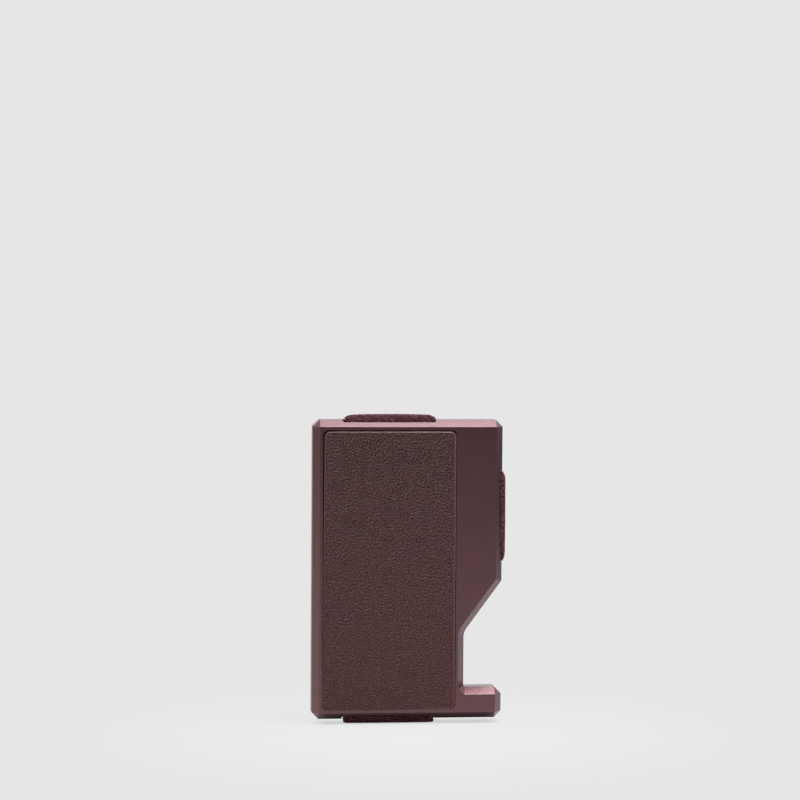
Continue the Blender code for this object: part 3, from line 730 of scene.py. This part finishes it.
def make_knit_tree():
    """Puts one yarn arch on each marked point of a strap, and joins them to the strap."""
    tree = bpy.data.node_groups.new("knit_stitches", "GeometryNodeTree")
    identifiers = {
        name: named_input(tree, name, kind, value)
        for name, kind, value in (
            ("Strap", "NodeSocketGeometry", None),
            ("Stitch Length", "NodeSocketFloat", STITCH_LENGTH),
            ("Yarn Radius", "NodeSocketFloat", YARN_RADIUS),
            # The arch rises half as high as the middle point that pulls it up
            ("Arch Height", "NodeSocketFloat", 2 * STITCH_RISE),
            ("Floor Height", "NodeSocketFloat", 0.0),
            ("Seed", "NodeSocketInt", KNIT_SEED),
            ("Yarn", "NodeSocketMaterial", None),
        )
    }
    tree.interface.new_socket("Knit", in_out="OUTPUT", socket_type="NodeSocketGeometry")
    given = add_node(tree, "NodeGroupInput").outputs

    # One stitch: an arch of yarn whose ends are sunk in the strap
    half = add_node(
        tree, "ShaderNodeMath", {0: given["Stitch Length"], 1: 0.5}, operation="MULTIPLY"
    )
    minus_half = add_node(tree, "ShaderNodeMath", {0: half, 1: -1.0}, operation="MULTIPLY")
    sunk = add_node(
        tree, "ShaderNodeMath", {0: given["Yarn Radius"], 1: -1.0}, operation="MULTIPLY"
    )
    start = add_node(tree, "ShaderNodeCombineXYZ", {"X": minus_half, "Z": sunk})
    middle = add_node(tree, "ShaderNodeCombineXYZ", {"Z": given["Arch Height"]})
    end = add_node(tree, "ShaderNodeCombineXYZ", {"X": half, "Z": sunk})
    arch = add_node(
        tree, "GeometryNodeCurveQuadraticBezier",
        {"Resolution": ARCH_STEPS, "Start": start, "Middle": middle, "End": end},
    )
    ring = add_node(
        tree, "GeometryNodeCurvePrimitiveCircle",
        {"Resolution": YARN_SIDES, "Radius": given["Yarn Radius"]},
    )
    yarn = add_node(
        tree, "GeometryNodeCurveToMesh",
        {"Curve": arch, "Profile Curve": ring, "Fill Caps": True},
    )

    # One of them on each marked point, each a little longer, shorter, lighter or darker
    marked, out, way = (
        add_node(tree, "GeometryNodeInputNamedAttribute", {"Name": name}, data_type=kind)
        for name, kind in (
            ("stitched", "BOOLEAN"), ("stitch_out", "FLOAT_VECTOR"), ("stitch_way", "FLOAT_VECTOR")
        )
    )
    turned = add_node(
        tree, "FunctionNodeAxesToRotation", {"Primary Axis": out, "Secondary Axis": way},
        primary_axis="Z", secondary_axis="X",
    )
    uneven = add_node(
        tree, "FunctionNodeRandomValue",
        {2: STITCH_SCALE_LOW, 3: STITCH_SCALE_HIGH, "Seed": given["Seed"]}, data_type="FLOAT",
    ).outputs[1]
    stitches = add_node(
        tree, "GeometryNodeInstanceOnPoints",
        {
            "Points": given["Strap"], "Selection": marked, "Instance": yarn,
            "Rotation": turned, "Scale": uneven,
        },
    )
    other_seed = add_node(tree, "ShaderNodeMath", {0: given["Seed"], 1: 1.0}, operation="ADD")
    tone = add_node(
        tree, "FunctionNodeRandomValue",
        {2: TONE_LOW, 3: TONE_HIGH, "Seed": other_seed}, data_type="FLOAT",
    ).outputs[1]
    toned = add_node(
        tree, "GeometryNodeStoreNamedAttribute",
        {"Geometry": stitches, "Name": "yarn_tone", "Value": tone},
        data_type="FLOAT", domain="INSTANCE",
    )

    # Joined to the strap, and pressed flat where they would go below the floor
    real = add_node(tree, "GeometryNodeRealizeInstances", {"Geometry": toned})
    joined = add_node(tree, "GeometryNodeJoinGeometry", {"Geometry": [real, given["Strap"]]})
    position = add_node(tree, "GeometryNodeInputPosition")
    spot = add_node(tree, "ShaderNodeSeparateXYZ", {"Vector": position}).outputs
    lifted = add_node(
        tree, "ShaderNodeMath", {0: spot["Z"], 1: given["Floor Height"]}, operation="MAXIMUM"
    )
    pressed = add_node(tree, "ShaderNodeCombineXYZ", {"X": spot["X"], "Y": spot["Y"], "Z": lifted})
    standing = add_node(
        tree, "GeometryNodeSetPosition", {"Geometry": joined, "Position": pressed}
    )
    smooth = add_node(tree, "GeometryNodeSetShadeSmooth", {"Geometry": standing})
    dyed = add_node(
        tree, "GeometryNodeSetMaterial", {"Geometry": smooth, "Material": given["Yarn"]}
    )
    add_node(tree, "NodeGroupOutput", {"Knit": dyed})
    return tree, identifiers


KNIT_TREE, KNIT_INPUTS = make_knit_tree()


class Row:
    """One line of points across a strap: its place, its outer side and how far it bows."""

    def __init__(self, place, out, bow, stitched):
        self.place = place
        self.out = out
        self.bow = bow
        self.stitched = stitched


def fold_rows(center, radius, away, rows):
    """A half turn from the front to the rear, round a centre, over the side named away."""
    made = []
    for step in range(rows + 1):
        angle = math.pi * step / rows
        out = FRONT * math.cos(angle) + away * math.sin(angle)
        made.append(Row(center + out * radius, out, away, True))
    return made


def tail_rows(fold_end, away, bow, count):
    """Knitted rows that go straight on from the end of a fold."""
    step = away * ROW_PITCH
    return [
        Row(fold_end.place + step * number, fold_end.out, bow, True)
        for number in range(1, count + 1)
    ]


def plain_rows(start, end, out, bow_start, bow_end, count):
    """Rows along a flat run that the plates hide, without its two ends."""
    made = []
    for step in range(1, count):
        share = step / count
        bow = bow_start * max(0, 1 - 2 * share) + bow_end * max(0, 2 * share - 1)
        made.append(Row(start.lerp(end, share), out, bow, False))
    return made


def strap_columns(width, shift):
    """Distances from a strap's one selvedge: close together where both selvedges round off."""
    selvedge = [step * MM for step in SELVEDGE_STEPS]
    inner = width - 2 * SELVEDGE_ROUND
    count = round(inner / COLUMN_PITCH)
    between = [SELVEDGE_ROUND + inner * step / count + shift for step in range(count + 1)]
    return selvedge + between + [width - step for step in reversed(selvedge)]


def make_strap(name, rows, closed, along, width, drop, nodes):
    """A knitted strap through its rows, with rounded selvedges and a bowed face."""
    core = STRAP_THICKNESS / 2 - STITCH_RISE / 2
    first = len(SELVEDGE_STEPS)
    shape = bmesh.new()
    marked = shape.verts.layers.bool.new("stitched")
    out_layer = shape.verts.layers.float_vector.new("stitch_out")
    way_layer = shape.verts.layers.float_vector.new("stitch_way")
    tone_layer = shape.verts.layers.float.new("yarn_tone")
    rings = []
    for index, row in enumerate(rows):
        before = rows[index - 1] if closed or index else row
        after = rows[(index + 1) % len(rows)] if closed or index < len(rows) - 1 else row
        tangent = (after.place - before.place).normalized()
        outer, inner = [], []
        # Stitches of one row lean away from those of the next, and lie between them
        side = 1 if index % 2 else -1
        lean = side * STITCH_LEAN
        columns = strap_columns(width, side * COLUMN_PITCH / 4)
        for column, distance in enumerate(columns):
            inward = min(distance, width - distance, SELVEDGE_ROUND)
            half = core * math.sqrt(1 - (1 - inward / SELVEDGE_ROUND) ** 2)
            # The face falls slowly from its middle, and fast over its last two millimetres
            sideways = 2 * distance / width - 1
            past = 1 - min(distance, width - distance, CORNER_REACH) / CORNER_REACH
            bow = drop * abs(sideways) ** 3 + CORNER_DROP * past ** 2
            place = row.place + along * sideways * width / 2
            place = place - row.bow * bow - row.out * STITCH_RISE / 2
            vertex = shape.verts.new(place + row.out * half)
            vertex[marked] = row.stitched and first <= column < len(columns) - first
            vertex[out_layer] = row.out
            vertex[way_layer] = along * math.cos(lean) + tangent * math.sin(lean)
            outer.append(vertex)
            if 0 < column < len(columns) - 1:
                inner.append(shape.verts.new(place - row.out * half))
                inner[-1][tone_layer] = INNER_TONE
        rings.append(outer + inner[::-1])
    following = rings[1:] + rings[:1] if closed else rings[1:]
    for ring, other in zip(rings, following):
        for spot in range(len(ring)):
            after = (spot + 1) % len(ring)
            shape.faces.new((ring[spot], ring[after], other[after], other[spot]))
    if not closed:
        for ring in (rings[0], rings[-1]):
            shape.faces.new(ring)
    bmesh.ops.recalc_face_normals(shape, faces=shape.faces)
    mesh = bpy.data.meshes.new(name)
    shape.to_mesh(mesh)
    shape.free()
    strap = new_piece(name, mesh, None)
    knit = strap.modifiers.new("knit", "NODES")
    knit.node_group = KNIT_TREE
    knit[KNIT_INPUTS["Yarn"]] = KNIT
    make_final(strap)
    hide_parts(*nodes)
    return strap


def make_long_elastic(radius, fold_count):
    """The loop over the top, down inside both plates, and out again under the foot."""
    low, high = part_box("elastic_band_long")
    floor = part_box("elastic_band_foot")[0].z
    outer = radius + STRAP_THICKNESS / 2
    x = (low.x + high.x + BAND_SIDE_PLAY) / 2
    y = (low.y + high.y) / 2
    top = Vector((x, y, high.z - outer))
    bottom = Vector((x, y, floor + outer - FOOT_PRESS))
    upper = fold_rows(top, radius, UP, fold_count)
    lower = fold_rows(bottom, radius, -UP, fold_count)[::-1]
    for row in lower:
        row.bow = row.bow * LOWER_BOW
    path = list(upper)
    for out, leaving, meeting, away, fold in (
        (-FRONT, upper[-1], lower[0], -UP, lower), (FRONT, lower[-1], upper[0], UP, [])
    ):
        near = tail_rows(leaving, away, -away, LONG_TAIL_ROWS)
        far = tail_rows(meeting, -away, away, LONG_TAIL_ROWS)
        path += near
        path += plain_rows(near[-1].place, far[-1].place, out, -away, away, LONG_PLAIN_ROWS)
        path += far[::-1] + fold
    return make_strap(
        "long_elastic", path, True, ACROSS, high.x - low.x - BAND_SIDE_PLAY, LONG_DROP,
        ("elastic_band_long", "elastic_band_foot"),
    )


def make_side_elastic(radius, fold_count):
    """The strap round the right side, whose two ends lie inside the plates."""
    low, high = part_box("elastic_band_side")
    outer = radius + STRAP_THICKNESS / 2
    z = (low.z + high.z) / 2
    fold = fold_rows(Vector((high.x - outer, (low.y + high.y) / 2, z)), radius, ACROSS, fold_count)
    tails = []
    for fold_end, out in ((fold[0], FRONT), (fold[-1], -FRONT)):
        tail = tail_rows(fold_end, -ACROSS, ACROSS, SIDE_TAIL_ROWS)
        end = Vector((low.x, tail[-1].place.y, z))
        tail += plain_rows(tail[-1].place, end, out, ACROSS, Vector(), SIDE_PLAIN_ROWS)
        tails.append(tail + [Row(end, out, Vector(), False)])
    path = tails[0][::-1] + fold + tails[1]
    return make_strap(
        "side_elastic", path, False, -UP, high.z - low.z, SIDE_DROP, ("elastic_band_side",)
    )


def make_elastics():
    """Both elastics, which run between the front and rear layers, each with its placement applied to
    its mesh.
    """
    low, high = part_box("elastic_band_side")
    radius = (high.y - low.y - STRAP_THICKNESS) / 2
    fold_count = round(math.pi * (radius + STRAP_THICKNESS / 2) / ROW_PITCH)
    for make in (make_long_elastic, make_side_elastic):
        elastic = make(radius, fold_count)
        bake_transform(elastic)


make_elastics()


# Pieces that keep their solids

FINISHES = {
    "front_liner": NYLON,
    "rear_liner": NYLON,
    "leather_adhesive": FILM,
    "pad_adhesive": FILM,
    "steel_shunt_ring": SHUNT_STEEL,
    "key_magnet": NICKEL,
}
for name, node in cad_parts.items():
    finish = FINISHES.get(name)
    if "screw" in name:
        finish = SCREW_STEEL
    elif name.startswith("ring_magnet"):
        finish = NICKEL
    if finish:
        node.data.materials.clear()
        node.data.materials.append(finish)


# Phone pad

# Soft, it has a rounder edge than the plates
PAD_EDGE = 0.2 * MM
phone_pad = break_edges("rear_pad", "phone_pad", PAD_EDGE, MICROFIBRE)
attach(phone_pad, "rear_half")


# Camera

FRAME_PIXELS = 800
FOCAL_PIXELS = 2758.7
SENSOR = 36.0
CAMERA_PLACE = Vector((-90.77, -804.45, 130.24)) * MM
CAMERA_TILT = math.radians(2.487)
CAMERA_YAW = math.radians(6.24)
CAMERA_ROLL = math.radians(-0.35)

camera_data = bpy.data.cameras.new("camera")
camera_data.sensor_width = SENSOR
camera_data.lens = FOCAL_PIXELS / FRAME_PIXELS * SENSOR
camera_data.clip_start = 0.01
camera_data.clip_end = 20
camera = bpy.data.objects.new("camera", camera_data)
bpy.context.scene.collection.objects.link(camera)
camera.matrix_world = (
    Matrix.Translation(CAMERA_PLACE)
    @ Matrix.Rotation(-CAMERA_YAW, 4, "Z")
    @ Matrix.Rotation(math.pi / 2 - CAMERA_TILT, 4, "X")
    @ Matrix.Rotation(-CAMERA_ROLL, 4, "Z")
)
bpy.context.scene.camera = camera


# Floor and room

# What the eye sees of table and room, and the tone in which the table lights the object
PALE = srgb("#e6e6e6")
TABLE = srgb("#d0c9c9")
WHITE = (1, 1, 1, 1)
# How strongly the room lights the object, where 1 is white
ROOM_LEVEL = 0.6
FLOOR_SIZE = 4.0
# A pool of light lies before the object
POOL_PLACE = (-3 * MM, -28 * MM, 0)
POOL_REACH = 95 * MM
POOL_GAIN = 0.07
# Half the size of what stands on the floor, and how its shadow fades from there
FOOTPRINT = (24 * MM, 2 * MM, 0)
CONTACT_SHARE = 0.28
CONTACT_FAR = 3 * MM
SHADOW_SHARE = 0.12
SHADOW_FAR = 90 * MM
UNDER_FAR = 12 * MM


def shows_background(tree):
    """1 for the rays by which the eye, metal and glass see the surroundings."""
    rays = add_node(tree, "ShaderNodeLightPath").outputs
    share = rays["Is Camera Ray"]
    for kind in ("Is Glossy Ray", "Is Transmission Ray"):
        share = add_node(tree, "ShaderNodeMath", {0: share, 1: rays[kind]}, operation="MAXIMUM")
    return share


def shadow_share(tree, place):
    """How much of the lamps' shadow shows at a place of the floor."""
    away = add_node(tree, "ShaderNodeVectorMath", {0: place}, operation="ABSOLUTE")
    past = add_node(tree, "ShaderNodeVectorMath", {0: away, 1: FOOTPRINT}, operation="SUBTRACT")
    outside = add_node(
        tree, "ShaderNodeVectorMath", {0: past, 1: (0, 0, 0)}, operation="MAXIMUM"
    )
    distance = add_node(
        tree, "ShaderNodeVectorMath", {0: outside}, operation="LENGTH"
    ).outputs["Value"]
    close, wide, under = (
        add_node(
            tree, "ShaderNodeMapRange",
            {"Value": distance, "From Max": far, "To Min": nearest, "To Max": 0.0},
        )
        for far, nearest in (
            (CONTACT_FAR, CONTACT_SHARE - SHADOW_SHARE), (SHADOW_FAR, SHADOW_SHARE),
            (UNDER_FAR, 1.0),
        )
    )
    share = add_node(tree, "ShaderNodeMath", {0: close, 1: wide})
    # What the metal mirrors from right under the object lies in full shadow
    mirrored = add_node(tree, "ShaderNodeLightPath").outputs["Is Glossy Ray"]
    full = add_node(tree, "ShaderNodeMath", {0: under, 1: mirrored}, operation="MULTIPLY")
    return add_node(tree, "ShaderNodeMath", {0: share, 1: full}, operation="MAXIMUM")


def pale_floor():
    """Pale table top. It shows its plain colour, with a pool of light and a soft shadow."""
    material, tree = start_material("pale_floor")
    place = add_node(tree, "ShaderNodeTexCoord").outputs["Object"]
    from_pool = add_node(
        tree, "ShaderNodeVectorMath", {0: place, 1: POOL_PLACE}, operation="DISTANCE"
    ).outputs["Value"]
    level = add_node(
        tree, "ShaderNodeMapRange",
        {"Value": from_pool, "From Max": POOL_REACH, "To Min": 1 + POOL_GAIN, "To Max": 1.0},
    )
    plain = add_node(tree, "ShaderNodeEmission", {"Color": PALE, "Strength": level})
    lit = add_node(tree, "ShaderNodeBsdfDiffuse", {"Color": PALE})
    seen = add_node(
        tree, "ShaderNodeMixShader", {0: shadow_share(tree, place), 1: plain, 2: lit}
    )
    table = add_node(tree, "ShaderNodeBsdfDiffuse", {"Color": TABLE})
    by_ray = add_node(tree, "ShaderNodeMixShader", {0: shows_background(tree), 1: table, 2: seen})
    add_node(tree, "ShaderNodeOutputMaterial", {"Surface": by_ray})
    return material


def black_card():
    """Matt black card, which mirrors nothing."""
    material, tree = start_material("black_card")
    black = add_node(tree, "ShaderNodeBsdfDiffuse", {"Color": srgb("#0a0a0a")})
    add_node(tree, "ShaderNodeOutputMaterial", {"Surface": black})
    return material


def add_sheet(name, corners, material):
    """A flat four-cornered sheet of the stage."""
    mesh = bpy.data.meshes.new(name)
    mesh.from_pydata(corners, [], [(0, 1, 2, 3)])
    mesh.materials.append(material)
    sheet = bpy.data.objects.new(name, mesh)
    bpy.context.scene.collection.objects.link(sheet)
    return sheet


def make_floor():
    """A pale table top that reaches out of the picture."""
    side = FLOOR_SIZE / 2
    corners = [(-side, -side, 0), (side, -side, 0), (side, side, 0), (-side, side, 0)]
    add_sheet("floor", corners, pale_floor())


def make_world():
    """A plain pale room, dimmer as a light than it looks."""
    world = bpy.data.worlds.new("studio")
    bpy.context.scene.world = world
    world.use_nodes = True
    tree = world.node_tree
    tree.nodes.clear()
    room = add_node(tree, "ShaderNodeBackground", {"Color": WHITE, "Strength": ROOM_LEVEL})
    plain = add_node(tree, "ShaderNodeBackground", {"Color": PALE, "Strength": 1.0})
    mixed = add_node(tree, "ShaderNodeMixShader", {0: shows_background(tree), 1: room, 2: plain})
    add_node(tree, "ShaderNodeOutputWorld", {"Surface": mixed})


def add_flag(name, start, end, height):
    """A black card that stands on the floor and that bright metal mirrors as a dark tone.

    The camera doesn't see it.
    """
    (left, near), (right, far) = start, end
    corners = [(left, near, 0), (right, far, 0), (right, far, height), (left, near, height)]
    add_sheet(name, corners, BLACK_CARD).visible_camera = False


def add_softbox(name, place, target, width, height, level, color=(1, 1, 1)):
    """An area lamp. Its level is its own brightness, where 1 is white."""
    lamp = bpy.data.lights.new(name, "AREA")
    lamp.color = color
    lamp.shape = "RECTANGLE"
    lamp.size = width
    lamp.size_y = height
    lamp.energy = level * math.pi * width * height
    holder = bpy.data.objects.new(name, lamp)
    bpy.context.scene.collection.objects.link(holder)
    holder.location = place
    holder.rotation_euler = (Vector(target) - Vector(place)).to_track_quat("-Z", "Y").to_euler()


make_floor()
make_world()


# Cards and lamps, in metres

BLACK_CARD = black_card()
add_flag("front_flag", start=(-1.5, -1.0), end=(1.5, -1.0), height=1.6)
add_flag("left_flag", start=(-0.8, -1.0), end=(-0.8, 1.0), height=0.13)
add_flag("right_flag", start=(0.45, -0.2), end=(0.45, 0.7), height=0.075)

# The two lamps overhead are a little cooler than the room
COOL = (0.82, 1.0, 0.95)
add_softbox(
    "overhead_softbox", place=(0.08, -0.08, 0.45), target=(0.08, -0.08, 0.0),
    width=0.20, height=0.16, level=15.2, color=COOL,
)
add_softbox(
    "ceiling_panel", place=(0.045, 0.076, 0.45), target=(0.045, 0.076, 0.0),
    width=0.13, height=0.02, level=7.8, color=COOL,
)
add_softbox(
    "left_panel", place=(-0.7, 0.1, 0.3), target=(0, 0, 0.05), width=0.6, height=0.5, level=0.4
)
add_softbox(
    "front_fill", place=(-0.25, -0.75, 0.75), target=(0, 0, 0.05), width=0.5, height=0.4, level=1.8
)

bpy.context.scene.view_settings.view_transform = "Standard"
